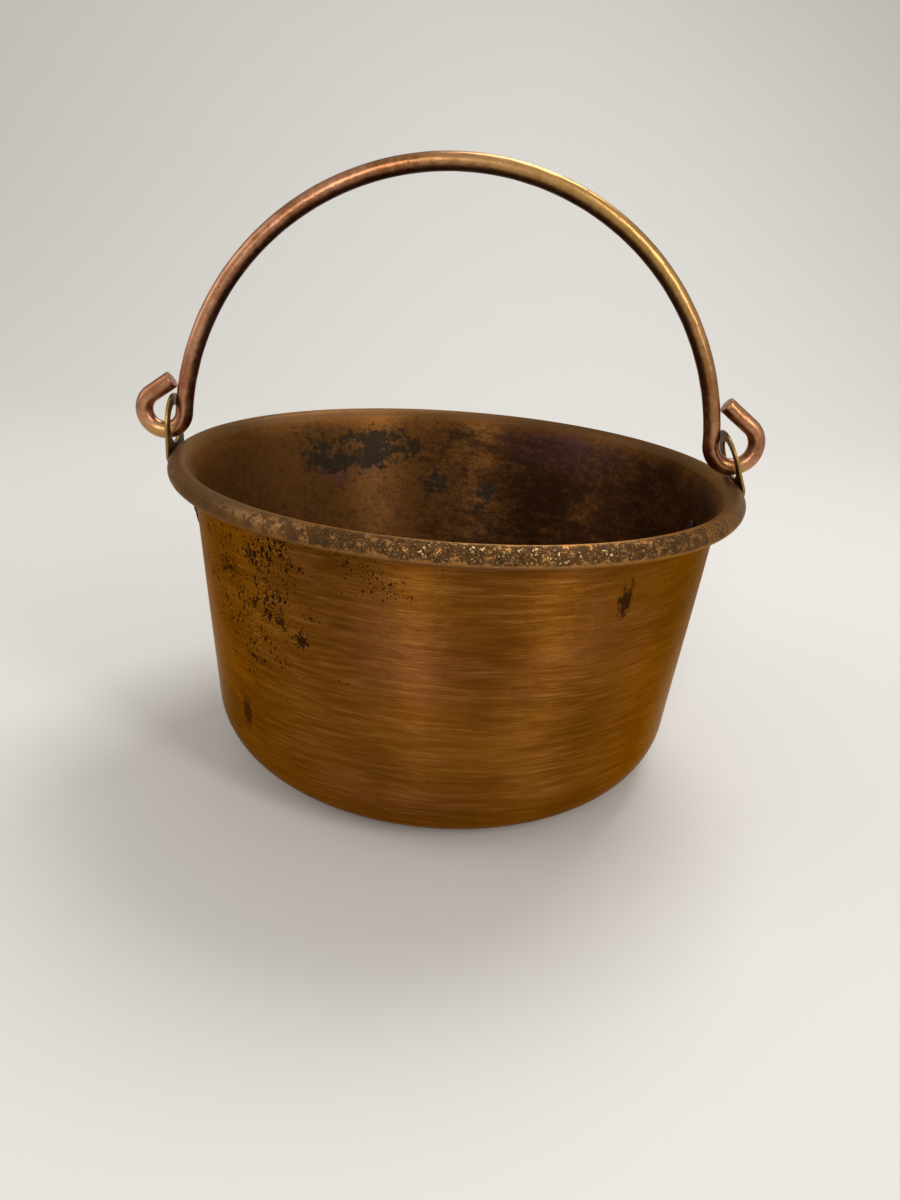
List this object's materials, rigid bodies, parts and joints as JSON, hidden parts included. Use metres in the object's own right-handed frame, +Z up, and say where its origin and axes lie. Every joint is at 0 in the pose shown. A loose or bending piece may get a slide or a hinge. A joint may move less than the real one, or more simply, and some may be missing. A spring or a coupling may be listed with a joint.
{
  "type": "copper cauldron",
  "caption": "Small round copper cauldron with a straight tapered wall, rolled wired rim, riveted ears and a swinging rod bail with curled loop ends for carrying or hanging.",
  "frame": {"origin": "centre of the flat base, at the level it stands on", "axes": "+Z up out of the pot's mouth, +X through the right ear along the bail's axis, -Y towards the viewer"},
  "size_m": [0.1836, 0.165, 0.1716],
  "materials": {
    "pot_copper": "polished copper with tarnish",
    "rim_steel": "drawn wire",
    "ear_brass": "dull brass sheet",
    "rivet_copper": "dull copper",
    "bail_copper": "semi-gloss copper rod"
  },
  "bodies": {
    "pot": {"pot_shell": "pot_copper", "rim_wire": "rim_steel", "left_ear": "ear_brass", "right_ear": "ear_brass", "left_ear_rivet_front": "rivet_copper", "left_ear_rivet_back": "rivet_copper", "right_ear_rivet_front": "rivet_copper", "right_ear_rivet_back": "rivet_copper"},
    "bail": {"bail": "bail_copper"}
  },
  "joints": [
    {"name": "bail_swing", "type": "hinge", "parent": "pot", "child": "bail", "pos_m": [0, 0, 0.0936], "axis": [1, 0, 0], "range_deg": [-90, 90]}
  ]
}
